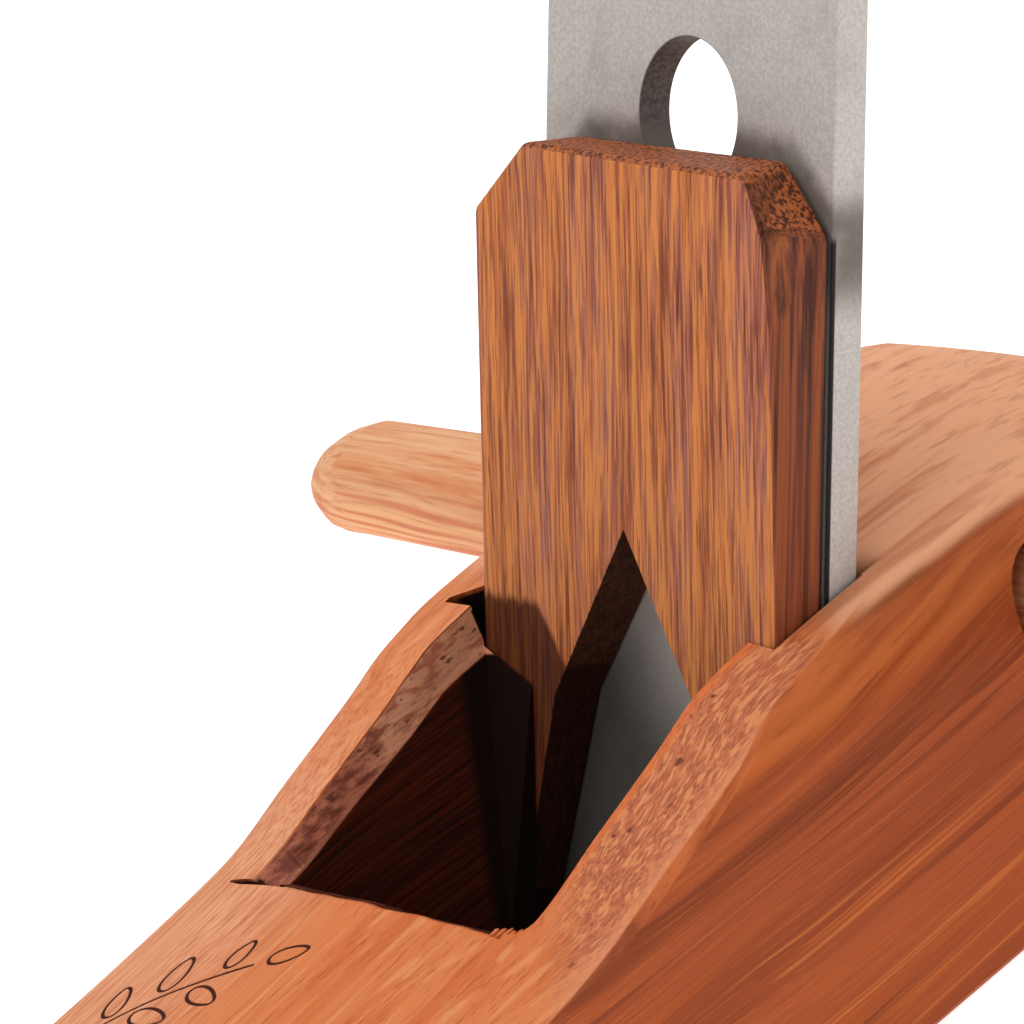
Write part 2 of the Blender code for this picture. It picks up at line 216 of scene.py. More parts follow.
def middle_height(x):
    fall = rounded_off(HEEL_X - x, HEEL_EDGE_RADIUS) + rounded_off(x - TOE_X, TOE_EDGE_RADIUS)
    return smooth_curve(TOP_PROFILE, x) - fall


def half_width(x):
    fall = rounded_off(HEEL_X - x, HEEL_CORNER_RADIUS) + rounded_off(x - TOE_X, TOE_CORNER_RADIUS)
    return BODY_WIDTH / 2 - fall


def top_height(x, y):
    return middle_height(x) - CROWN_DROP * (2 * y / BODY_WIDTH) ** 2


def shoulder_radius(x, side):
    def blend(low, high, start, end):
        t = min(max((x - start) / (end - start), 0.0), 1.0)
        return low + (high - low) * t * t * (3 - 2 * t)

    if side == NEAR:
        return blend(SHOULDER_FRONT, SHOULDER_REAR, MOUTH_X, CREST_X)
    if x < CREST_X:
        return blend(FAR_SHOULDER, FAR_SHOULDER_CREST, MOUTH_X + 0.004, MOUTH_X + 0.014)
    return blend(FAR_SHOULDER_CREST, SHOULDER_REAR, CREST_X, CREST_X + 0.016)


def shoulder_height(x, y, side):
    radius = shoulder_radius(x, side)
    inner = half_width(x) - radius
    out = min(max(abs(y) - inner, 0.0), radius)
    level = top_height(max(x, CREST_X) if side == NEAR else x, inner)
    return level - radius + math.sqrt(radius**2 - out**2)


def arris_half(x, side):
    """Distance from the middle to where the top surface meets the shoulder."""
    low = half_width(x) - shoulder_radius(x, side)
    high = half_width(x)
    for _ in range(30):
        middle = (low + high) / 2
        if top_height(x, middle) <= shoulder_height(x, middle, side):
            low = middle
        else:
            high = middle
    return low


def pared(x, y):
    """Depth of the shallow paring behind the iron, which ends in a step at the side."""
    start = on_bed(CREST_HEIGHT / math.sin(BED_ANGLE), IRON_THICKNESS).x
    along = min(max((x - start) / PARED_REACH, 0.0), 1.0)
    ahead = 0.0 if x < start - 0.004 else 1.0
    side = min(max((PARED_HALF - y) / PARED_HALF, 0.0), 1.0)
    return PARED_DEPTH * ahead * (1 - along) ** 1.5 * (1 - side) ** 1.2 if y < PARED_HALF else 0.0


def body_section(x, side, top_steps=15, outer_steps=4, shoulder_steps=10, side_steps=9):
    """Half section of the stock, from the middle of its top round to the edge of its sole."""
    half = half_width(x)
    arris = arris_half(x, side)
    inner = min(PARED_HALF, arris - 0.002)
    spots = [inner * i / top_steps for i in range(top_steps)] + [inner - 0.00012, inner]
    spots += [inner + (arris - inner) * i / outer_steps for i in range(1, outer_steps + 1)]
    points = [(y, top_height(x, y) - pared(x, y)) for y in spots]
    arris_height = points[-1][1]
    radius = shoulder_radius(x, side)
    inner = half - radius
    start = math.asin(min(max((arris - inner) / radius, 0.0), 1.0))
    for i in range(1, shoulder_steps + 1):
        y = inner + radius * math.sin(start + (math.pi / 2 - start) * i / shoulder_steps)
        points.append((y, min(shoulder_height(x, y, side), arris_height - 0.0002 * i)))
    high = points[-1][1]
    for i in range(1, side_steps + 1):
        points.append((half, high + (SOLE_CHAMFER - high) * i / side_steps))
    points.append((half - SOLE_CHAMFER, 0.0))
    return points


def body_stations(count=110):
    """X of each section: close together round the corners, even between them."""

    def rounded(end, inward, radius, steps=8):
        turns = [math.pi / 2 * i / steps for i in range(steps)]
        return [end + inward * radius * (1 - math.cos(turn)) for turn in turns]

    first = rounded(TOE_X, 1, TOE_CORNER_RADIUS)
    last = rounded(HEEL_X, -1, HEEL_CORNER_RADIUS)
    start, end = TOE_X + TOE_CORNER_RADIUS, HEEL_X - HEEL_CORNER_RADIUS
    return first + [start + (end - start) * i / count for i in range(count + 1)] + last[::-1]


def new_object(name, mesh_data):
    mesh = bpy.data.meshes.new(name)
    mesh_data.to_mesh(mesh)
    mesh_data.free()
    obj = bpy.data.objects.new(name, mesh)
    bpy.context.scene.collection.objects.link(obj)
    return obj


def loft(rings, closed=False):
    """Body through rings of equal length, capped at both ends or joined end to end."""
    work = bmesh.new()
    rows = [[work.verts.new(point) for point in ring] for ring in rings]
    for row, after in zip(rows, rows[1:] + ([rows[0]] if closed else [])):
        for i in range(len(row)):
            j = (i + 1) % len(row)
            work.faces.new((row[i], row[j], after[j], after[i]))
    if not closed:
        work.faces.new(rows[0][::-1])
        work.faces.new(rows[-1])
    bmesh.ops.recalc_face_normals(work, faces=work.faces)
    return work


def hull(points):
    work = bmesh.new()
    for point in points:
        work.verts.new(point)
    made = bmesh.ops.convex_hull(work, input=work.verts)
    inside = [item for item in made["geom_interior"] if isinstance(item, bmesh.types.BMVert)]
    bmesh.ops.delete(work, geom=inside, context="VERTS")
    bmesh.ops.recalc_face_normals(work, faces=work.faces)
    return work


def add_shape(work, shape, smooth=False):
    """Moves the faces of one bmesh into another."""
    for face in shape.faces:
        face.smooth = smooth
    mesh = bpy.data.meshes.new("added")
    shape.to_mesh(mesh)
    shape.free()
    work.from_mesh(mesh)
    bpy.data.meshes.remove(mesh)


def apply_modifiers(obj):
    graph = bpy.context.evaluated_depsgraph_get()
    mesh = bpy.data.meshes.new_from_object(obj.evaluated_get(graph))
    old = obj.data
    obj.modifiers.clear()
    obj.data = mesh
    bpy.data.meshes.remove(old)


def cut_out(obj, shapes):
    """Subtracts each shape, a bmesh, from the object."""
    cutters = []
    for i, shape in enumerate(shapes):
        cutter = new_object(f"cutter_{i}", shape)
        cut = obj.modifiers.new(cutter.name, "BOOLEAN")
        cut.operation = "DIFFERENCE"
        cut.solver = "EXACT"
        cut.object = cutter
        cutters.append(cutter)
    apply_modifiers(obj)
    for cutter in cutters:
        bpy.data.objects.remove(cutter)


def soften(obj, width, segments=2):
    """Eases the edges and shades the piece smooth between them."""
    bevel = obj.modifiers.new("ease", "BEVEL")
    bevel.width = width
    bevel.segments = segments
    bevel.limit_method = "ANGLE"
    bevel.angle_limit = EASED_EDGE
    bevel.use_clamp_overlap = True
    apply_modifiers(obj)
    obj.data.shade_smooth()


def even_normals(obj):
    """Large flat faces keep their own direction beside the eased edges."""
    weighted = obj.modifiers.new("even", "WEIGHTED_NORMAL")
    weighted.mode = "FACE_AREA_WITH_ANGLE"
    weighted.weight = 60
    apply_modifiers(obj)


# ---------------- cutters of the stock


def slot_shape():
    """Slot of the iron and the wedge, from above the crest to below the sole."""
    high = CREST_HEIGHT + 0.030
    back = IRON_THICKNESS + GAP
    outline = [
        on_bed(-0.008, back),
        on_bed(high, back),
        on_bed(high, -wedge_thickness(high) - GAP),
        on_bed(WEDGE_TIP - 0.002, -wedge_thickness(WEDGE_TIP - 0.002) - GAP),
        on_bed(0.0, -MOUTH_OPENING * math.sin(BED_ANGLE)),
        on_bed(-0.005, -MOUTH_OPENING * math.sin(BED_ANGLE) / 4),
    ]
    return hull([(p.x, y, p.z) for p in outline for y in SLOT_SIDES])


def front_wall(z):
    """X of the throat's front wall at height z."""
    lip_x = MOUTH_X - MOUTH_OPENING
    edge_x = MOUTH_X - THROAT_REACH
    edge_z = top_height(edge_x, 0)
    return lip_x + (edge_x - lip_x) * max(z - LIP_HEIGHT, 0) / (edge_z - LIP_HEIGHT)


def slot_face(along):
    """Front face of the slot, which the wedge leans on."""
    return on_bed(along, -wedge_thickness(along) - GAP)


def throat_shape():
    """Middle of the throat, between its upright walls."""
    overlap = 0.0020
    high = CREST_HEIGHT + 0.020
    outline = [
        Vector((front_wall(LIP_HEIGHT), 0, LIP_HEIGHT)),
        Vector((front_wall(high), 0, high)),
        slot_face(high) + INTO_BED * overlap,
        slot_face(WEDGE_TIP) + INTO_BED * overlap,
        on_bed(0.003, -0.0004),
    ]
    return hull([(p.x, side * THROAT_HALF_BOTTOM, p.z) for p in outline for side in (-1, 1)])


def mouth_shape():
    ahead = MOUTH_X - MOUTH_OPENING
    behind = MOUTH_X + 0.002
    high = LIP_HEIGHT + 0.002
    corners = [(ahead, -0.002), (ahead, LIP_HEIGHT), (behind, -0.002), (behind + 0.001, high)]
    return hull([(x, y, z) for x, z in corners for y in SLOT_SIDES])


def funnel_shape(side, half_top, half_crest, drop, corner):
    """One side's cheek, leaning out from the throat's foot to drop below the top surface."""
    edge_x = MOUTH_X - THROAT_REACH
    rise = 0.020
    foot = on_bed(0.008, -wedge_thickness(0.008))
    low = Vector((foot.x - 0.004, THROAT_HALF_BOTTOM, foot.z))

    def beyond(point, half):
        return low + (Vector((point.x, half, point.z)) - low) * 1.05

    full = beyond(slot_face(ABUTMENT_LEVEL), THROAT_HALF_BOTTOM)
    crest = beyond(slot_face(ABUTMENT_LEVEL + ABUTMENT_SLOPE), half_crest)
    above = slot_face(ABUTMENT_LEVEL + ABUTMENT_SLOPE + rise) + INTO_BED * 0.0006
    front = front_wall(top_height(edge_x, 0) - drop)
    front_z = top_height(edge_x, half_top) - drop
    back = crest.x - 0.0035
    corners = [
        low,
        full,
        (front, half_top - corner, front_z),
        (front + corner, half_top, front_z),
        (front - 0.4 * rise, half_top - corner, front_z + drop + rise),
        (front + corner, half_top, front_z + drop + rise),
        (back, min(half_top, half_crest), top_height(back, half_top) - drop),
        crest,
        (above.x, half_crest, above.z),
    ]
    if corner > 0.001:  # round the cut across the corner
        for angle in (30, 60):
            turn = math.radians(angle)
            x = front + corner * (1 - math.sin(turn))
            y = half_top - corner * (1 - math.cos(turn))
            corners += [(x, y, front_z), (x, y, front_z + drop + rise)]
    return hull([(x, side * y, z) for x, y, z in corners] + [(x, 0.0, z) for x, y, z in corners])


def bevel_shape(side):
    """Hand-cut bevel along the top edge of the far cheek, steeper towards the wedge."""
    first = MOUTH_X - THROAT_REACH - 0.0002
    crest = slot_face(ABUTMENT_LEVEL + ABUTMENT_SLOPE)
    last = crest.x + 0.002
    rings = []
    steps = 34
    front_z = top_height(first, FAR_EDGE_HALF) - FAR_BEVEL_DEPTH
    low_half = FAR_EDGE_HALF - FAR_BEVEL_WIDTH
    for i in range(steps + 1):
        t = i / steps
        x = first + (last - first) * t
        long_wave = 0.00018 * noise.noise(Vector((x * 190, 3.1, 0)))
        wave = long_wave + 0.0001 * noise.noise(Vector((x * 620, 7.7, 0)))
        half = FAR_EDGE_HALF + (FAR_CREST_HALF + 0.0002 - FAR_EDGE_HALF) * t + wave
        upper = Vector((half, top_height(x, half)))
        low_y = low_half + (FAR_CREST_HALF - low_half) * t
        lower = Vector((low_y, front_z + (crest.z - front_z) * t))
        way = (upper - lower).normalized()
        high = upper.y + 0.004
        outer = upper + way * 0.0011
        inner = lower - way * (0.0011 * (1 - t) + 0.0001)
        ring = [tuple(outer), (outer.x, high), (inner.x - 0.0012, high), tuple(inner)]
        rings.append([(x, side * y, z) for y, z in ring])
    return loft(rings)


def throat_kerf():
    """Saw cut along the throat's front edge that runs on past its far corner."""
    x = MOUTH_X - THROAT_REACH
    start, end = FAR_EDGE_HALF - 0.0055, FAR_EDGE_HALF + 0.0029
    half = 0.00042
    points = []
    for y, deep, width in ((start, 0.0034, 1.0), (end - 0.0016, 0.0016, 0.9), (end, 0.0003, 0.35)):
        lean = 0.0008 * (y - start) / (end - start)
        for side in (-1, 1):
            for height in (-deep, 0.004):
                points.append((x - lean + side * half * width, y, top_height(x, y) + height))
    return hull(points)


def lip_shape():
    """Worn edge at the front of the throat."""
    x = MOUTH_X - THROAT_REACH
    start = -THROAT_HALF_TOP + THROAT_CORNER
    width = FAR_EDGE_HALF - 0.0025 + THROAT_HALF_TOP - THROAT_CORNER
    beyond = 0.003
    rings = []
    steps = 46
    for i in range(steps + 1):
        y = start + width * i / steps
        ragged = 1 + 0.22 * noise.noise(Vector((y * 300, 1.3, 0)))
        ahead, deep = x - 0.0009 * ragged, 0.0007 * ragged
        z = top_height(x, y)
        high = z + beyond
        corners = [(ahead, z + 0.00005), (ahead, high), (x + beyond, high)]
        corners.append((x + beyond, z - deep * 3.2))
        rings.append([(cx, y, cz) for cx, cz in corners])
    return loft(rings)


def slot_notch():
    """Chip where the saw overran the far wall of the slot; the stock's material darkens it with
    painted shade.
    """
    corners = [(0.0299, 0.0218), (0.0301, 0.0274), (0.0309, 0.0274)]
    corners += [(0.0334, 0.0240), (0.0336, 0.0218)]
    deep, high = 0.0055, 0.004
    return hull([(x, y, top_height(x, y) + h) for x, y in corners for h in (-deep, high)])


def handle_ring(y, scale, spare=0.0, lower=0.0, facets=0.0, count=40):
    """Section of the cross handle: an ellipse drawn out towards a rounded square."""
    ring = []
    for i in range(count):
        angle = 2 * math.pi * (i + 0.5) / count
        c, s = math.cos(angle), math.sin(angle)
        flat = 1 - facets * (0.5 + 0.5 * math.cos(9 * angle + 0.7))
        x = (HANDLE_DEPTH / 2 * scale * flat + spare) * math.copysign(abs(c) ** HANDLE_ROUNDNESS, c)
        z = (HANDLE_HEIGHT / 2 * scale * flat + spare) * math.copysign(abs(s) ** HANDLE_ROUNDNESS, s)
        ring.append((MOUTH_X + HANDLE_BEHIND_MOUTH + x, y, HANDLE_LEVEL - lower + z))
    return ring


def worn_mortise():
    """Dark worn mouth of the near mortise, wider than the bar."""
    face = -BODY_WIDTH / 2
    rings = [
        handle_ring(face - 0.002, 1.0, spare=0.0008, lower=0.0009),
        handle_ring(face + 0.0015, 1.0, spare=0.0007, lower=0.0008),
        handle_ring(face + 0.007, 1.0),
    ]
    heelward = 0.0003
    return loft([[(x + heelward, y, z) for x, y, z in ring] for ring in rings])


def groove_rings(path, closed):
    """Sections of a V groove along a path of (x, y) on the deck."""
    rings = []
    count = len(path)
    for i, (x, y) in enumerate(path):
        before = path[i - 1] if closed or i else path[0]
        after = path[(i + 1) % count] if closed or i < count - 1 else path[-1]
        way = Vector((after[0] - before[0], after[1] - before[1])).normalized()
        across = Vector((-way.y, way.x)) * GROOVE_HALF
        z = top_height(x, y)
        ends = [(x + across.x, y + across.y, z + GROOVE_LIFT), (x, y, z - GROOVE_DEPTH)]
        rings.append(ends + [(x - across.x, y - across.y, z + GROOVE_LIFT)])
    return rings


def sprig_shape():
    """Plain leaf sprig carved in the front deck."""
    work = bmesh.new()

    def stem(t):
        x, y = SPRIG_FOOT
        return x + SPRIG_LENGTH * t, y - SPRIG_LENGTH * t + SPRIG_BOW * math.sin(math.pi * t)

    stem_path = [stem(0.92 * i / 16) for i in range(17)]
    add_shape(work, loft(groove_rings(stem_path, closed=False)))
    for t, side, size in SPRIG_LEAVES:
        x, y = stem(t)
        ahead = stem(t + 0.02)
        turn = math.atan2(ahead[1] - y, ahead[0] - x) + side * SPRIG_SPREAD
        way = Vector((math.cos(turn), math.sin(turn)))
        across = Vector((-way.y, way.x))
        base = Vector((x, y)) + way * 0.0013
        outline = []
        for i in range(28):
            angle = 2 * math.pi * i / 28
            reach = (1 - math.cos(angle)) / 2
            wide = 0.30 * math.sin(angle) * (1 - 0.35 * reach)
            spot = base + way * (reach * size) + across * (wide * size)
            outline.append((spot.x, spot.y))
        add_shape(work, loft(groove_rings(outline, closed=True), closed=True))
    bmesh.ops.recalc_face_normals(work, faces=work.faces)
    return work


def add_fibres(stock):
    """Torn fibres left at the near corner of the throat's front edge."""
    work = bmesh.new()
    work.from_mesh(stock.data)
    sections = ((-0.9, 0.9), (0.0, 1.0), (0.65, 0.8), (1.0, 0.35))  # how far ahead, and the scale
    for i, (x, y, reach) in enumerate(FIBRES):
        z = top_height(x, y) - 0.0004
        points = []
        for k, (ahead, size) in enumerate(sections):
            for side in range(6):
                angle = 2 * math.pi * side / 6
                rough = 1 + 0.35 * noise.noise(Vector((i * 3.1, k * 1.7, side * 2.3)))
                wide, tall = 0.00042 * size * rough, 0.00034 * size * rough
                high = z + 0.0002 * max(ahead, 0) + tall * math.sin(angle)
                points.append((x + reach * ahead * 0.6, y + wide * math.cos(angle), high))
        add_shape(work, hull(points), smooth=True)
    work.to_mesh(stock.data)
    work.free()


def make_stock():
    """Block with its cuts and eased edges, then the engraving and the torn fibres."""
    rings = []
    for x in body_stations():
        ring = [(x, y, z) for y, z in body_section(x, FAR)]
        ring += [(x, -y, z) for y, z in body_section(x, NEAR)[:0:-1]]
        rings.append(ring)
    stock = new_object("stock_body", loft(rings))
    far_half = FAR_EDGE_HALF - FAR_BEVEL_WIDTH
    cut_out(
        stock,
        [
            slot_shape(),
            throat_shape(),
            mouth_shape(),
            funnel_shape(FAR, far_half, FAR_CREST_HALF, FAR_BEVEL_DEPTH, 0.0002),
            funnel_shape(NEAR, THROAT_HALF_TOP, NEAR_CREST_HALF, 0.0, THROAT_CORNER),
            bevel_shape(FAR),
            loft([handle_ring(y, 1.0, GAP) for y in (-BODY_WIDTH, BODY_WIDTH)]),
            worn_mortise(),
            throat_kerf(),
            slot_notch(),
            lip_shape(),
        ],
    )
    soften(stock, 0.00028)
    cut_out(stock, [sprig_shape()])
    even_normals(stock)
    add_fibres(stock)
    return stock


def make_iron():
    half = IRON_WIDTH / 2
    heel = IRON_RETREAT + IRON_THICKNESS / math.tan(IRON_BEVEL_ANGLE)
    front = [
        (IRON_RETREAT, -half),
        (IRON_RETREAT, half),
        (IRON_LENGTH - IRON_CORNER, half),
        (IRON_LENGTH, half - IRON_CORNER),
        (IRON_LENGTH, IRON_CORNER - half),
        (IRON_LENGTH - IRON_CORNER, -half),
    ]
    back = [(heel, across) if along == IRON_RETREAT else (along, across) for along, across in front]
    rings = [[on_bed(along, 0.0, IRON_SHIFT + across) for along, across in front]]
    rings.append([on_bed(along, IRON_THICKNESS, IRON_SHIFT + across) for along, across in back])
    iron = new_object("plane_iron", loft(rings))
    hole = []
    for into in (-0.002, IRON_THICKNESS + 0.002):
        ring = []
        for i in range(96):
            angle = 2 * math.pi * i / 96
            along = IRON_HOLE_HEIGHT + IRON_HOLE_RADIUS * math.sin(angle)
            ring.append(on_bed(along, into, IRON_SHIFT + IRON_HOLE_RADIUS * math.cos(angle)))
        hole.append(ring)
    cut_out(iron, [loft(hole)])
    soften(iron, 0.00022)
    even_normals(iron)
    return iron


def make_wedge():
    """Blank with eased edges, then the notch is sawn out of it."""
    half = WEDGE_WIDTH / 2
    shoulder = WEDGE_TOP - WEDGE_CORNER_DOWN
    back = [
        (WEDGE_TIP, half),
        (shoulder, half),
        (WEDGE_TOP, half - WEDGE_CORNER_ACROSS),
        (WEDGE_TOP, WEDGE_CORNER_ACROSS - half),
        (shoulder, -half),
        (WEDGE_TOP - 0.016, -half),
        (WEDGE_TIP, -half),
    ]
    front = [
        (WEDGE_TIP, half),
        (shoulder - 0.0006, half),
        (WEDGE_TOP - 0.0002, half - WEDGE_CORNER_ACROSS - 0.0012),
        (WEDGE_TOP - 0.0009, 0.0034 - half),
        (shoulder + 0.0001, 0.0011 - half),
        (WEDGE_TOP - 0.016, -half),
        (WEDGE_TIP, -half),
    ]
    rings = [
        [on_bed(along, -GAP, WEDGE_SHIFT + across) for along, across in back],
        [on_bed(along, -wedge_thickness(along), WEDGE_SHIFT + across) for along, across in front],
    ]
    wedge = new_object("forked_wedge", loft(rings))
    soften(wedge, 0.0008, segments=4)
    knee = (NOTCH_APEX - NOTCH_KNEE) * math.tan(NOTCH_HALF_ANGLE)
    foot = (WEDGE_TIP - 0.002, half - LEG_TIP_WIDTH + 0.0006)
    notch = [(NOTCH_APEX, 0.0), (NOTCH_KNEE, knee), foot]
    notch += [(along, -across) for along, across in notch[:0:-1]]
    rings = []
    for into in (0.002, -WEDGE_TOP_THICKNESS - 0.002):
        rings.append([on_bed(along, into, WEDGE_SHIFT + across) for along, across in notch])
    cut_out(wedge, [loft(rings)])
    soften(wedge, 0.00015)
    even_normals(wedge)
    return wedge


def make_handle():
    """Bar with tapered ends. The near end is pared thinner."""
    half = HANDLE_LENGTH / 2
    straight = BODY_WIDTH / 2 + HANDLE_TIP
    stations = [  # y, scale and drop of each section
        (-half, HANDLE_TIP_SCALE * 0.85, HANDLE_TIP_DROP),
        (-half + 0.03 * HANDLE_TIP, HANDLE_TIP_SCALE * 1.05, HANDLE_TIP_DROP),
        (-half + 0.11 * HANDLE_TIP, 0.50, 0.84 * HANDLE_TIP_DROP),
        (-half + 0.36 * HANDLE_TIP, 0.73, 0.54 * HANDLE_TIP_DROP),
        (-half + 0.64 * HANDLE_TIP, 0.86, 0.26 * HANDLE_TIP_DROP),
        (-half + HANDLE_TIP, HANDLE_END_SCALE, 0.0),
        (-straight, 1.0, 0.0),
        (-BODY_WIDTH / 2, 1.0, 0.0),
    ]
    stations += [(-y, scale, drop) for y, scale, drop in stations[::-1]]
    fine = []
    for first, last in zip(stations, stations[1:]):
        steps = max(1, round(abs(last[0] - first[0]) / 0.0025))
        for i in range(steps):
            fine.append([a + (b - a) * i / steps for a, b in zip(first, last)])
    fine.append(stations[-1])
    rings = []
    for y, scale, drop in fine:
        t = min(max((-0.004 - y) / 0.027, 0.0), 1.0)
        pare = t * t * (3 - 2 * t)
        lower = drop + 0.0008 * pare * scale
        ring = handle_ring(y, scale * (1 - 0.20 * pare), lower=lower, facets=0.016)
        rings.append([(px + 0.0007 * pare, py, pz) for px, py, pz in ring])
    handle = new_object("cross_bar", loft(rings))
    handle.data.shade_smooth()
    handle.data.set_sharp_from_angle(angle=math.radians(40))
    return handle


# ---------------- materials


class Graph:
    """Short names for building a material's nodes. Its lengths are in millimetres."""

    def __init__(self, name):
        self.material = bpy.data.materials.new(name)
        self.material.use_nodes = True
        self.tree = self.material.node_tree
        self.shader = self.tree.nodes["Principled BSDF"]
        place = self.node("ShaderNodeTexCoord").outputs["Object"]
        inputs = {0: place, "Scale": 1000.0}
        scaled = self.node("ShaderNodeVectorMath", inputs, operation="SCALE")
        self.place = scaled.outputs["Vector"]

    def feed(self, node, inputs):
        """Links or sets the node's inputs, given by name or by number."""
        for key, value in inputs.items():
            if isinstance(value, bpy.types.NodeSocket):
                self.tree.links.new(value, node.inputs[key])
            else:
                node.inputs[key].default_value = value

    def node(self, kind, inputs=None, **settings):
        made = self.tree.nodes.new(kind)
        for key, value in settings.items():
            setattr(made, key, value)
        self.feed(made, inputs or {})
        return made

    def split(self, vector):
        return self.node("ShaderNodeSeparateXYZ", {0: vector}).outputs

    def vector(self, operation, a, b):
        made = self.node("ShaderNodeVectorMath", {0: a, 1: b}, operation=operation)
        return made.outputs["Vector"]

    def math(self, operation, a, b=0.0, clamp=False):
        inputs = {0: a, 1: b}
        return self.node("ShaderNodeMath", inputs, operation=operation, use_clamp=clamp).outputs[0]

    def add(self, *values):
        return functools.reduce(lambda a, b: self.math("ADD", a, b), values)

    def times(self, *values):
        return functools.reduce(lambda a, b: self.math("MULTIPLY", a, b), values)

    def most(self, *values):
        """The largest of the values."""
        return functools.reduce(lambda a, b: self.math("MAXIMUM", a, b), values)

    def less(self, a, b):
        return self.math("SUBTRACT", a, b)

    def size(self, value):
        return self.math("ABSOLUTE", value)

    def map_range(self, kind, *numbers):
        keys = ("Value", "From Min", "From Max", "To Min", "To Max")
        inputs = dict(zip(keys, numbers))
        return self.node("ShaderNodeMapRange", inputs, interpolation_type=kind).outputs["Result"]

    def step(self, value, low, high, to_low=0.0, to_high=1.0):
        """Smooth step of value from low to high, which may lie either way round."""
        return self.map_range("SMOOTHSTEP", value, low, high, to_low, to_high)

    def line(self, value, low, to_low, high, to_high):
        """Straight line of value, held beyond both ends."""
        return self.map_range("LINEAR", value, low, high, to_low, to_high)

    def noise(self, place, scale, detail=2.0, roughness=0.5):
        inputs = {"Vector": place, "Scale": scale, "Detail": detail, "Roughness": roughness}
        return self.node("ShaderNodeTexNoise", inputs).outputs["Fac"]

    def fibre(self, place, waves, detail=2.0, roughness=0.5):
        """Noise with about this many waves to a millimetre along each axis."""
        return self.noise(self.vector("MULTIPLY", place, waves), 1.0, detail, roughness)

    def wandering(self, place, waves, detail, **reach):
        """The place, moved along the named axes by a slow noise."""
        drift = self.less(self.fibre(place, waves, detail), 0.5)
        inputs = {axis: self.times(drift, distance) for axis, distance in reach.items()}
        return self.vector("ADD", place, self.node("ShaderNodeCombineXYZ", inputs).outputs[0])

    def mix(self, factor, a, b, blend="MIX"):
        inputs = {"Factor": factor, "A": a, "B": b}
        made = self.node("ShaderNodeMix", inputs, data_type="RGBA", blend_type=blend)
        return made.outputs[2]

    def tones(self, value, low, high, first, last):
        """One colour where value is below low and the other where it is above high."""
        return self.mix(self.step(value, low, high), first, last)

    def layer(self, colour, paint, *amounts):
        """The colour with paint over it, as strong as the product of the amounts."""
        return self.mix(self.times(*amounts), colour, paint)

    def layers(self, colour, *rows):
        """Paint after paint, each of strength amount where value steps from low to high."""
        for paint, value, low, high, amount in rows:
            colour = self.layer(colour, paint, self.step(value, low, high), amount)
        return colour

    def shade(self, colour, rough, height, strength, distance):
        """Feeds the shader. The height is a bump of this strength and depth in metres."""
        inputs = {"Height": height, "Strength": strength, "Distance": distance}
        normal = self.node("ShaderNodeBump", inputs).outputs["Normal"]
        self.feed(self.shader, {"Base Color": colour, "Roughness": rough, "Normal": normal})


def rgb(red, green, blue):
    """Linear colour from display values of 0 to 255."""

    def linear(v):
        v /= 255
        return v / 12.92 if v <= 0.04045 else ((v + 0.055) / 1.055) ** 2.4

    return (linear(red), linear(green), linear(blue), 1.0)


STOCK_BASE = rgb(186, 89, 44)
STOCK_DARK = rgb(160, 73, 34)
STOCK_WARM = rgb(200, 93, 37)
STOCK_DEEP = rgb(118, 49, 20)
STOCK_STREAK = rgb(222, 122, 58)
STOCK_SHOULDER = rgb(249, 135, 71)
TOP_PALE = rgb(232, 134, 77)
TOP_WARM = rgb(220, 113, 55)
TOP_LINE = rgb(186, 86, 41)
TOP_LIGHT = rgb(247, 170, 112)
TOP_FAR = rgb(255, 189, 147)
TOP_FAR_LINE = rgb(220, 139, 98)
TOP_HEEL_LIT = rgb(255, 186, 140)
TOP_HEEL_LIT_LINE = rgb(186, 106, 72)
RAMP_BASE = rgb(217, 125, 81)
RAMP_DARK = rgb(175, 93, 62)
RAMP_DASH = rgb(248, 166, 104)
RAMP_PIT = rgb(94, 36, 20)
RAMP_RIM = rgb(231, 119, 59)
RAMP_EDGE = rgb(237, 151, 106)
BEVEL_DARK = rgb(130, 66, 51)
BEVEL_PALE = rgb(200, 119, 90)
BEVEL_CREST_LIT = rgb(244, 174, 134)
BEVEL_PIT = rgb(84, 38, 28)
BEVEL_RIM = rgb(222, 142, 112)
CARVED = rgb(74, 26, 12)
THROAT_SHADE = rgb(40, 8, 2)
THROAT_SHADE_WARM = rgb(82, 27, 8)
THROAT_SHADE_BLACK = rgb(24, 7, 2)
WEDGE_PURPLE = rgb(179, 110, 94)
WEDGE_ORANGE = rgb(197, 114, 66)
WEDGE_LIGHT = rgb(233, 145, 75)
WEDGE_DARK = rgb(134, 67, 46)
WEDGE_DEEP = rgb(81, 33, 18)
WEDGE_CHEEK_SHADE, WEDGE_CHEEK_SHADE_PALE = rgb(47, 11, 3), rgb(86, 30, 7)
WEDGE_FORK_SHADE, WEDGE_FORK_SHADE_PALE = rgb(27, 7, 3), rgb(57, 20, 8)
WEDGE_END, WEDGE_END_PALE = rgb(92, 46, 32), rgb(190, 104, 56)
WEDGE_SIDE_SHADE, WEDGE_SIDE_SHADE_PALE = rgb(50, 16, 7), rgb(126, 53, 26)
WEDGE_SEAM_SHADE = rgb(24, 10, 5)
HANDLE_BASE, HANDLE_PALE = rgb(234, 152, 103), rgb(246, 186, 138)
HANDLE_STREAK_SHADE, HANDLE_STREAK_SHADE_PALE = rgb(215, 112, 61), rgb(248, 184, 125)
HANDLE_LINE, HANDLE_LIGHT = rgb(205, 112, 65), rgb(254, 206, 154)
HANDLE_SHADE = rgb(66, 30, 14)
STEEL_BASE, STEEL_PALE = rgb(193, 186, 180), rgb(218, 211, 204)
STEEL_CLOUD = rgb(147, 140, 133)
STEEL_BORE, STEEL_BORE_PALE = rgb(51, 45, 43), rgb(101, 91, 85)
STEEL_GRIME_SHADE = rgb(109, 99, 91)
STEEL_NOTCH_LIT = rgb(206, 192, 184)
STEEL_FOOT_SHADE = rgb(42, 33, 28)
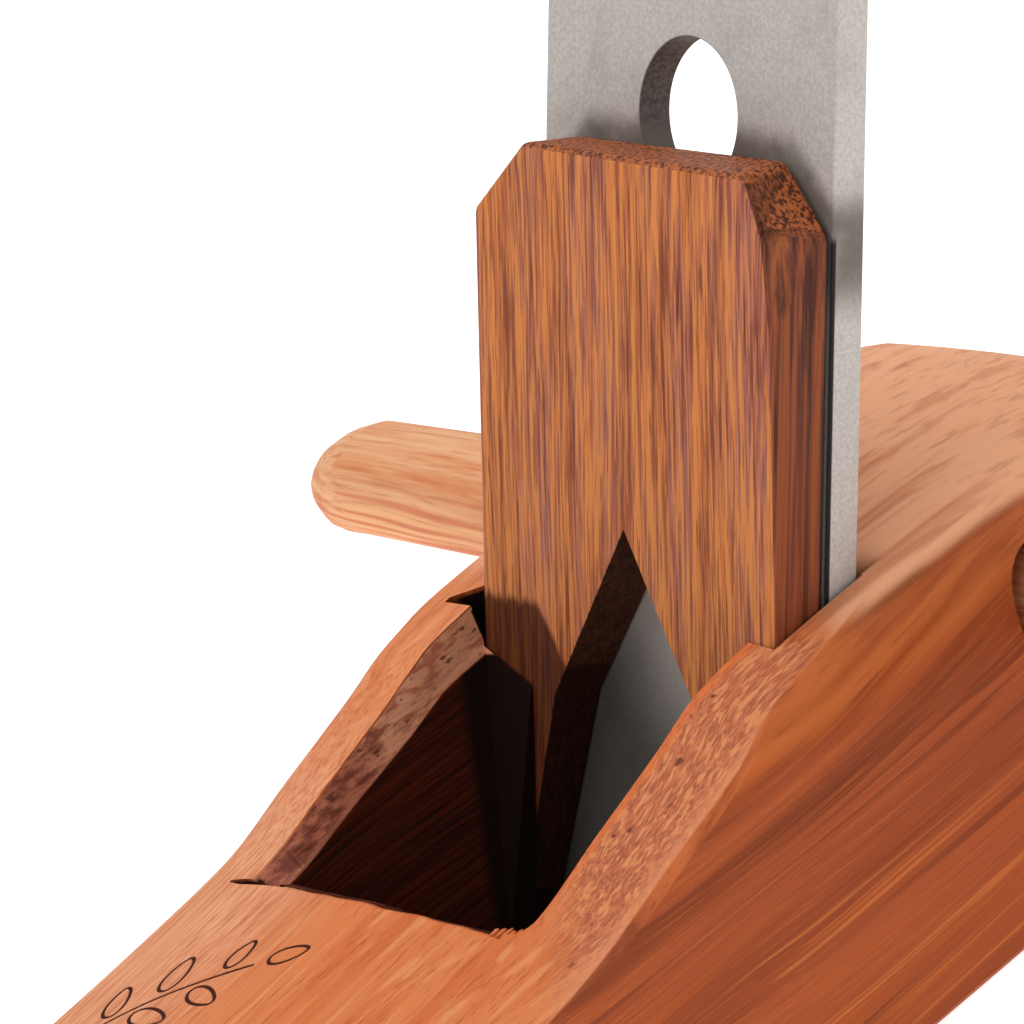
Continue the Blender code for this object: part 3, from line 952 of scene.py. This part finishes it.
STEEL_SEAM_SHADE = rgb(24, 16, 13)
CURVE_REACH = 50.0  # height in millimetres at the top of top_curve's graph


def top_curve(g, x):
    """Height of the middle of the stock's top at x, both in millimetres."""
    length = HEEL_X - TOE_X
    share = g.math("DIVIDE", g.less(x, TOE_X / MM), length / MM)
    made = g.node("ShaderNodeFloatCurve", {"Value": share})
    curve = made.mapping.curves[0]
    count = 72
    for i in range(1, count):
        level = middle_height(TOE_X + length * i / count) / MM / CURVE_REACH
        curve.points.new(i / count, level)
    curve.points[0].location = (0.0, middle_height(TOE_X) / MM / CURVE_REACH)
    curve.points[-1].location = (1.0, middle_height(HEEL_X) / MM / CURVE_REACH)
    for point in curve.points:
        point.handle_type = "VECTOR"
    made.mapping.update()
    return g.times(made.outputs["Value"], CURVE_REACH)


def stock_wood():
    g = Graph("stock_rosewood")
    x, y, z = g.split(g.place)
    facing_up = g.split(g.node("ShaderNodeNewGeometry").outputs["Normal"])[2]

    # Depth below the top surface: zero on the top, more on the bevel and down the throat.
    crown = g.times(y, y, CROWN_DROP / MM / (BODY_WIDTH / MM / 2) ** 2)
    depth = g.less(g.less(top_curve(g, x), crown), z)
    on_top = g.step(depth, 0.30, 0.12)
    middle = g.step(g.size(y), 27.5, 26.5)
    around = g.times(g.step(x, -8.0, -6.5), g.step(x, 50.0, 46.0))
    inside = g.times(middle, around, g.step(z, 0.1, 0.4))

    # The grain runs along X and wanders a little.
    grain = g.wandering(g.place, (0.012, 0.05, 0.05), 2.0, Y=6.0, Z=10.0)
    broad = g.fibre(grain, (0.006, 0.07, 0.13))
    bands = g.fibre(grain, (0.010, 0.30, 0.42), 3.0, 0.55)
    lines = g.fibre(grain, (0.013, 0.75, 1.05))
    fibres = g.fibre(grain, (0.055, 2.6, 3.0), 3.0, 0.6)
    pores = g.fibre(grain, (0.22, 3.4, 3.6), 1.0)

    # The sides are red-brown and streaked, warmer round the shoulder, darker to the heel.
    wood = g.layers(
        g.tones(broad, 0.35, 0.65, STOCK_DARK, STOCK_BASE),
        (STOCK_WARM, bands, 0.52, 0.70, 0.55),
        (STOCK_DEEP, bands, 0.46, 0.30, 0.55),
    )
    shoulder = g.tones(bands, 0.35, 0.62, STOCK_WARM, STOCK_SHOULDER)
    wood = g.layer(wood, shoulder, g.step(z, 26.0, 33.0), g.step(facing_up, 0.1, 0.5), 0.6)
    wood = g.layers(
        wood,
        (STOCK_STREAK, lines, 0.60, 0.72, 0.80),
        (STOCK_DEEP, lines, 0.38, 0.28, 0.55),
        (STOCK_STREAK, fibres, 0.50, 0.75, 0.35),
        (STOCK_DEEP, fibres, 0.50, 0.25, 0.30),
    )
    fading = dict.fromkeys(("Red", "Green", "Blue"), g.line(x, -40.0, 1.0, 75.0, 0.72))
    tone = g.node("ShaderNodeCombineColor", fading).outputs[0]
    wood = g.mix(1.0, wood, tone, "MULTIPLY")

    # The top is paler and pinker than the sides: partly the planed wood, partly painted light from
    # above. Most so on the far side and on the worn heel, which painted light also brightens against
    # the iron's shadow.
    top = g.layers(
        g.tones(bands, 0.35, 0.62, TOP_WARM, TOP_PALE),
        (TOP_LINE, fibres, 0.48, 0.30, 0.70),
        (TOP_LIGHT, lines, 0.56, 0.66, 0.45),
        (TOP_PALE, fibres, 0.52, 0.75, 0.40),
    )
    far = g.times(g.step(y, 4.0, 22.0), g.step(x, 20.0, 0.0, 0.35, 1.0))
    top = g.layer(top, g.tones(fibres, 0.3, 0.7, TOP_FAR_LINE, TOP_FAR), far, 0.75)
    # Painted light: the heel is paler, partly from wear and partly to offset the iron's shadow on
    # it.
    worn_and_lit = g.layers(
        g.tones(fibres, 0.35, 0.65, TOP_FAR, TOP_HEEL_LIT),
        (TOP_FAR_LINE, bands, 0.52, 0.34, 0.60),
        (TOP_HEEL_LIT_LINE, lines, 0.46, 0.32, 0.35),
    )
    top = g.layer(top, worn_and_lit, g.step(x, 33.0, 40.0), 0.92)

    # It ends at a near edge that bends inwards towards the crest and the toe.
    bend = g.times(g.most(g.less(x, 18.0), 0.0), -0.20)
    bend = g.add(bend, g.times(g.math("MINIMUM", x, 0.0), -0.13))
    inboard = g.step(g.add(y, 30.0, bend), -0.15, 0.30)
    inboard = g.most(inboard, g.step(x, 36.0, 42.0))
    # Painted light in part: the paler top colour goes where the surface faces up.
    colour = g.layer(wood, top, g.step(facing_up, 0.60, 0.93), g.step(depth, 0.90, 0.15), inboard)

    # The near ramp cuts the fibres: purple-brown with short bright dashes and dark pits.
    dash = g.fibre(grain, (0.36, 1.9, 2.3), 2.0, 0.55)
    fleck = g.fibre(grain, (0.40, 3.6, 4.0), 2.0, 0.6)
    pits = g.fibre(g.place, (0.42, 0.42, 0.42), 1.0)
    ramp = g.layers(
        g.tones(fleck, 0.35, 0.65, RAMP_DARK, RAMP_BASE),
        (RAMP_DASH, dash, 0.48, 0.64, 0.62),
        (RAMP_PIT, pits, 0.71, 0.75, 0.8),
        (RAMP_RIM, g.size(g.add(y, 18.9)), 1.3, 0.5, g.step(fleck, 0.3, 0.6, 0.3, 0.9)),
        (RAMP_EDGE, y, -27.5, -30.0, g.step(dash, 0.62, 0.5, 0.1, 0.75)),
    )
    slope = g.add(x, g.times(g.less(-20.0, y), 1.1))
    near = g.times(g.step(y, -16.0, -17.0), on_top, inboard)
    colour = g.layer(colour, ramp, near, g.step(slope, -4.0, 6.0), g.step(x, 37.0, 32.0))

    # Hand-cut bevel on the far cheek, mottled and darker, down to its crease. Towards the crest it
    # is paler with painted light, where the bevel faces away from the lamps.
    mottle = g.fibre(g.place, (0.42, 1.3, 1.3), 3.0, 0.6)
    hollow = g.fibre(g.place, (0.55, 1.1, 1.1), 2.0, 0.55)
    crest = g.tones(mottle, 0.34, 0.56, BEVEL_PALE, BEVEL_CREST_LIT)
    crease = g.line(x, (MOUTH_X - THROAT_REACH) / MM, 2.0, slot_face(ABUTMENT_LEVEL).x / MM, 4.9)
    under = g.less(depth, crease)
    bevel = g.layers(
        g.tones(mottle, 0.38, 0.66, BEVEL_DARK, BEVEL_PALE),
        (crest, g.add(x, g.times(mottle, 8.0)), 13.0, 23.0, 1.0),
        (BEVEL_PIT, hollow, 0.62, 0.70, 0.75),
        (BEVEL_RIM, under, -0.75, -0.20, 0.45),
    )
    above = g.step(under, 0.15, -0.10)
    strip = g.times(g.step(y, 19.0, 19.3), g.step(depth, 0.10, 0.22), g.step(x, 31.0, 30.0))
    colour = g.layer(colour, bevel, strip, inside, above)

    # The engraving is dark.
    carved = g.times(g.step(depth, 0.03, 0.10), g.step(depth, 2.0, 1.0), middle)
    colour = g.layer(colour, CARVED, carved, g.step(x, -7.0, -7.5), g.step(x, -34.0, -33.0))

    # Painted shade, with some oil and dust, blackens the throat, the slot, the chip beside the wedge
    # and the saw cut, darkest deep down the bed.
    bedward = g.less(g.times(g.less(x, MOUTH_X / MM), 0.866), g.times(z, 0.5))
    shaded_wall = g.tones(fibres, 0.3, 0.7, THROAT_SHADE, THROAT_SHADE_WARM)
    shaded_wall = g.layer(shaded_wall, THROAT_SHADE_BLACK, g.step(bedward, -10.2, -8.6))
    well = g.times(g.step(depth, 0.30, 1.0), g.step(y, 18.9, 18.6))
    far_wall = g.times(g.less(1.0, above), g.step(y, 23.4, 23.2))
    chip = g.times(g.step(x, 29.6, 29.8), g.step(depth, 0.2, 0.6), g.step(y, -21.5, -21.0))
    slit = g.times(g.step(depth, 0.15, 0.5), g.step(g.size(g.add(x, 4.8)), 0.9, 0.6))
    shade_and_oil = g.times(inside, g.most(well, far_wall, chip, slit))
    colour = g.layer(colour, shaded_wall, shade_and_oil)

    rough = g.step(fibres, 0.2, 0.8, 0.50, 0.64)
    rough = g.math("ADD", rough, g.times(shade_and_oil, 0.35), clamp=True)
    fine = g.noise(g.place, 1.6, 3.0, 0.6)
    height = g.add(g.times(fibres, 0.7), g.times(fine, 0.3))
    height = g.less(height, g.times(g.step(pores, 0.62, 0.72), 0.25))
    g.shader.inputs["Specular IOR Level"].default_value = 0.14
    g.shade(colour, rough, height, 0.30, 0.0004)
    return g.material


def wedge_wood():
    g = Graph("wedge_rosewood")
    from_mouth = g.vector("SUBTRACT", g.place, (MOUTH_X / MM, 0.0, 0.0))
    inputs = {"Vector": from_mouth, "Angle": BED_ANGLE}
    turned = g.node("ShaderNodeVectorRotate", inputs, rotation_type="Y_AXIS").outputs[0]
    x, y, z = g.split(turned)
    grain = g.wandering(turned, (0.015, 0.05, 0.05), 1.0, Y=3.5)
    wide = g.fibre(grain, (0.014, 0.22, 0.3))
    lines = g.fibre(grain, (0.012, 1.15, 1.0), 3.0, 0.6)
    fine = g.fibre(grain, (0.030, 3.0, 2.6), 2.0, 0.55)
    strokes = g.fibre(grain, (0.09, 2.4, 2.0), 1.0)
    colour = g.layers(
        g.tones(wide, 0.36, 0.64, WEDGE_PURPLE, WEDGE_ORANGE),
        (WEDGE_LIGHT, lines, 0.50, 0.60, 0.85),
        (WEDGE_DARK, lines, 0.47, 0.37, 0.85),
        (WEDGE_LIGHT, fine, 0.51, 0.62, 0.60),
        (WEDGE_DARK, fine, 0.47, 0.36, 0.60),
        (WEDGE_DEEP, strokes, 0.66, 0.72, 0.5),
    )

    # Painted shade darkens the wedge where the far cheek covers it.
    edge = g.add(g.times(g.less(lines, 0.5), 2.0), 40.2)
    slant = g.times(g.most(g.less(14.5, y), 0.0), 1.25)
    cheek_shade = g.times(g.step(g.add(x, slant), edge, g.less(edge, 1.3)), g.step(y, 3.0, 6.0))
    colour = g.layer(colour, g.tones(fine, 0.3, 0.7, WEDGE_CHEEK_SHADE, WEDGE_CHEEK_SHADE_PALE), cheek_shade, 0.88)

    # Painted shade makes the sawn sides inside the fork nearly black.
    normal = g.node("ShaderNodeNewGeometry").outputs["True Normal"]
    sideways = g.size(g.split(normal)[1])
    half = WEDGE_WIDTH / 2 / MM
    fork_shade = g.times(g.step(sideways, 0.5, 0.8), g.step(g.size(y), half - 1.0, half - 2.0))
    colour = g.layer(colour, g.tones(fine, 0.3, 0.7, WEDGE_FORK_SHADE, WEDGE_FORK_SHADE_PALE), fork_shade, 0.9)

    # Sawn end grain at the top and on the clipped corners is speckled.
    facing = g.node("ShaderNodeVectorMath", {0: normal, 1: UP_BED}, operation="DOT_PRODUCT")
    ends = g.step(facing.outputs["Value"], 0.30, 0.60)
    speck = g.fibre(grain, (1.2, 2.2, 2.2), 2.0, 0.6)
    colour = g.layer(colour, g.tones(speck, 0.42, 0.56, WEDGE_END, WEDGE_END_PALE), ends)

    # The outer sides are redder than the planed face, and darker with painted shade.
    side = g.times(g.step(sideways, 0.55, 0.9), g.less(1.0, fork_shade))
    colour = g.layer(colour, g.tones(lines, 0.42, 0.58, WEDGE_SIDE_SHADE, WEDGE_SIDE_SHADE_PALE), side, 0.80)

    # Painted shade fills the near seam against the iron.
    outer = WEDGE_SHIFT / MM - half
    seam_shade = g.times(g.step(g.size(z), 1.05, 0.70), g.step(y, outer + 2.0, outer + 1.3))
    colour = g.layer(colour, WEDGE_SEAM_SHADE, seam_shade, 0.9)

    height = g.add(g.times(fine, 0.6), g.times(lines, 0.5), g.times(speck, ends, 1.5))
    g.shader.inputs["Specular IOR Level"].default_value = 0.2
    g.shade(colour, g.step(fine, 0.2, 0.8, 0.50, 0.64), height, 0.45, 0.0004)
    return g.material


def handle_wood():
    g = Graph("handle_pale_wood")
    _, y, z = g.split(g.place)
    grain = g.wandering(g.place, (0.08, 0.02, 0.08), 2.0, Z=5.0)
    bands = g.fibre(grain, (0.55, 0.012, 0.75), 3.0, 0.55)
    fine = g.fibre(grain, (2.4, 0.07, 2.4), 2.0, 0.55)
    level = HANDLE_LEVEL / MM
    # Below its top the bar is streaked grain, darkened with painted shade in place of its facets.
    shaded_streak = g.tones(bands, 0.42, 0.56, HANDLE_STREAK_SHADE, HANDLE_STREAK_SHADE_PALE)
    colour = g.layers(
        g.tones(bands, 0.36, 0.62, HANDLE_BASE, HANDLE_PALE),
        (shaded_streak, z, level + 4.0, level - 1.0, 0.8),
        (HANDLE_LINE, fine, 0.48, 0.30, 0.5),
        (HANDLE_LIGHT, fine, 0.55, 0.72, 0.4),
    )
    # A thin band of painted shade marks the bar where it meets the stock.
    out = g.less(g.size(y), BODY_WIDTH / MM / 2)
    ring = g.times(g.step(out, 1.9, 1.2), g.step(out, -1.4, -0.6))
    colour = g.layer(colour, HANDLE_SHADE, ring, g.step(fine, 0.25, 0.6, 0.85, 0.6))
    g.shader.inputs["Specular IOR Level"].default_value = 0.2
    g.shade(colour, g.step(fine, 0.2, 0.8, 0.48, 0.62), fine, 0.35, 0.0003)
    return g.material


def iron_steel():
    g = Graph("ground_steel")
    speck = g.noise(g.place, 2.4, 4.0, 0.7)
    cloud = g.noise(g.place, 0.11, 3.0, 0.6)
    grind = g.fibre(g.place, (2.5, 0.10, 2.5), 3.0, 0.6)
    colour = g.tones(speck, 0.3, 0.7, STEEL_BASE, STEEL_PALE)
    colour = g.layer(colour, STEEL_CLOUD, g.step(cloud, 0.50, 0.75), 0.35)

    # Distances up the bed, into it and aside from the iron's middle
    x, y, z = g.split(g.place)
    behind = g.less(x, MOUTH_X / MM)
    along = g.add(g.times(behind, UP_BED.x), g.times(z, UP_BED.z))
    into = g.add(g.times(behind, INTO_BED.x), g.times(z, INTO_BED.z))
    aside = g.less(y, IRON_SHIFT / MM)

    # The bore of the hole is dark.
    rise = g.less(along, IRON_HOLE_HEIGHT / MM)
    radius = g.math("SQRT", g.add(g.times(rise, rise), g.times(aside, aside)))
    bore = g.step(radius, IRON_HOLE_RADIUS / MM + 0.2, IRON_HOLE_RADIUS / MM)
    colour = g.layer(colour, g.tones(speck, 0.3, 0.7, STEEL_BORE, STEEL_BORE_PALE), bore)

    # Painted shade, with some grime, darkens the steel around the top of the wedge.
    top = g.add(WEDGE_TOP / MM + 0.3, g.times(g.less(cloud, 0.5), 3.0))
    top = g.less(top, g.most(g.less(g.size(y), 15.5), 0.0))
    past = g.less(along, top)
    grime_and_shade = g.times(g.step(past, 3.4, 0.0), g.step(past, -10.0, -4.0))
    colour = g.layer(colour, STEEL_GRIME_SHADE, grime_and_shade, g.step(cloud, 0.25, 0.6, 0.45, 0.9))

    # Painted light makes the steel in the wedge's notch pale above, and painted shade darkens it
    # down in the throat.
    low = g.step(g.less(along, g.times(g.most(y, -12.0), 0.9)), 42.0, 20.0)
    notch = g.times(g.step(along, 54.0, 50.0), g.less(1.0, low))
    colour = g.layer(colour, STEEL_NOTCH_LIT, notch, g.step(g.size(aside), 19.0, 16.0))
    colour = g.layer(colour, STEEL_FOOT_SHADE, low, 0.86)

    # Painted shade fills the seam against the wedge.
    edge = IRON_WIDTH / MM / 2
    seam_shade = g.times(g.step(into, 0.55, 0.35), g.step(g.size(aside), edge - 0.5, edge - 0.1))
    seam_shade_top = WEDGE_TOP / MM - 6.5
    colour = g.layer(colour, STEEL_SEAM_SHADE, seam_shade, g.step(along, seam_shade_top, seam_shade_top - 1.0))

    height = g.add(g.times(speck, 0.5), g.times(grind, 0.5))
    g.shader.inputs["Metallic"].default_value = 0.25
    g.shade(colour, g.step(grind, 0.2, 0.8, 0.58, 0.70), height, 0.12, 0.0002)
    return g.material


# ---------------- camera, floor and light


def add_camera():
    """Camera close to the mouth, tilted with the picture."""
    place = Vector((-0.378346, -0.682627, 0.408731))
    right = Vector((0.694672, -0.609187, -0.382520))
    down = Vector((-0.549210, -0.105756, -0.828965))
    ahead = Vector((0.464541, 0.785943, -0.408038))
    data = bpy.data.cameras.new("camera")
    data.lens = 324.006
    data.sensor_width = 36.0
    data.clip_start = 0.05
    camera = bpy.data.objects.new("camera", data)
    turn = Matrix((right, -down, -ahead)).transposed().to_4x4()
    camera.matrix_world = Matrix.Translation(place) @ turn
    bpy.context.scene.collection.objects.link(camera)
    bpy.context.scene.camera = camera


def add_area(name, place, size, power):
    """Square white light, turned to the middle of the plane."""
    data = bpy.data.lights.new(name, "AREA")
    data.shape = "RECTANGLE"
    data.size = data.size_y = size
    data.energy = power
    light = bpy.data.objects.new(name, data)
    light.location = place
    aim = (Vector((0.01, 0, 0.03)) - Vector(place)).to_track_quat("-Z", "Y")
    light.rotation_euler = aim.to_euler()
    bpy.context.scene.collection.objects.link(light)


def add_studio():
    scene = bpy.context.scene
    scene.view_settings.view_transform = "Standard"
    scene.view_settings.look = "None"
    world = bpy.data.worlds.new("studio")
    world.use_nodes = True
    back = world.node_tree.nodes["Background"]
    back.inputs["Color"].default_value = (1, 1, 1, 1)
    back.inputs["Strength"].default_value = 0.30
    scene.world = world
    work = bmesh.new()
    bmesh.ops.create_grid(work, x_segments=1, y_segments=1, size=4.0)
    floor = new_object("floor", work)
    paint = bpy.data.materials.new("floor_white")
    paint.use_nodes = True
    shader = paint.node_tree.nodes["Principled BSDF"]
    shader.inputs["Base Color"].default_value = (0.70, 0.70, 0.70, 1)
    shader.inputs["Roughness"].default_value = 0.9
    shader.inputs["Emission Color"].default_value = (1, 1, 1, 1)
    shader.inputs["Emission Strength"].default_value = 0.8
    floor.data.materials.append(paint)
    add_area("key", (0.22, 0.22, 0.95), size=1.3, power=8.0)
    add_area("fill", (-0.9, -0.45, 0.45), size=0.8, power=2.5)


# ---------------- assembly

add_camera()
add_studio()

plan = [
    (make_stock, stock_wood, "stock"),
    (make_iron, iron_steel, "iron"),
    (make_wedge, wedge_wood, "wedge"),
    (make_handle, handle_wood, "cross_handle"),
]
for make, finish, node in plan:
    piece = make()
    piece.data.materials.clear()
    piece.data.materials.append(finish())
    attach(piece, node)
    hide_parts(node)
    print("made", piece.name, len(piece.data.polygons))
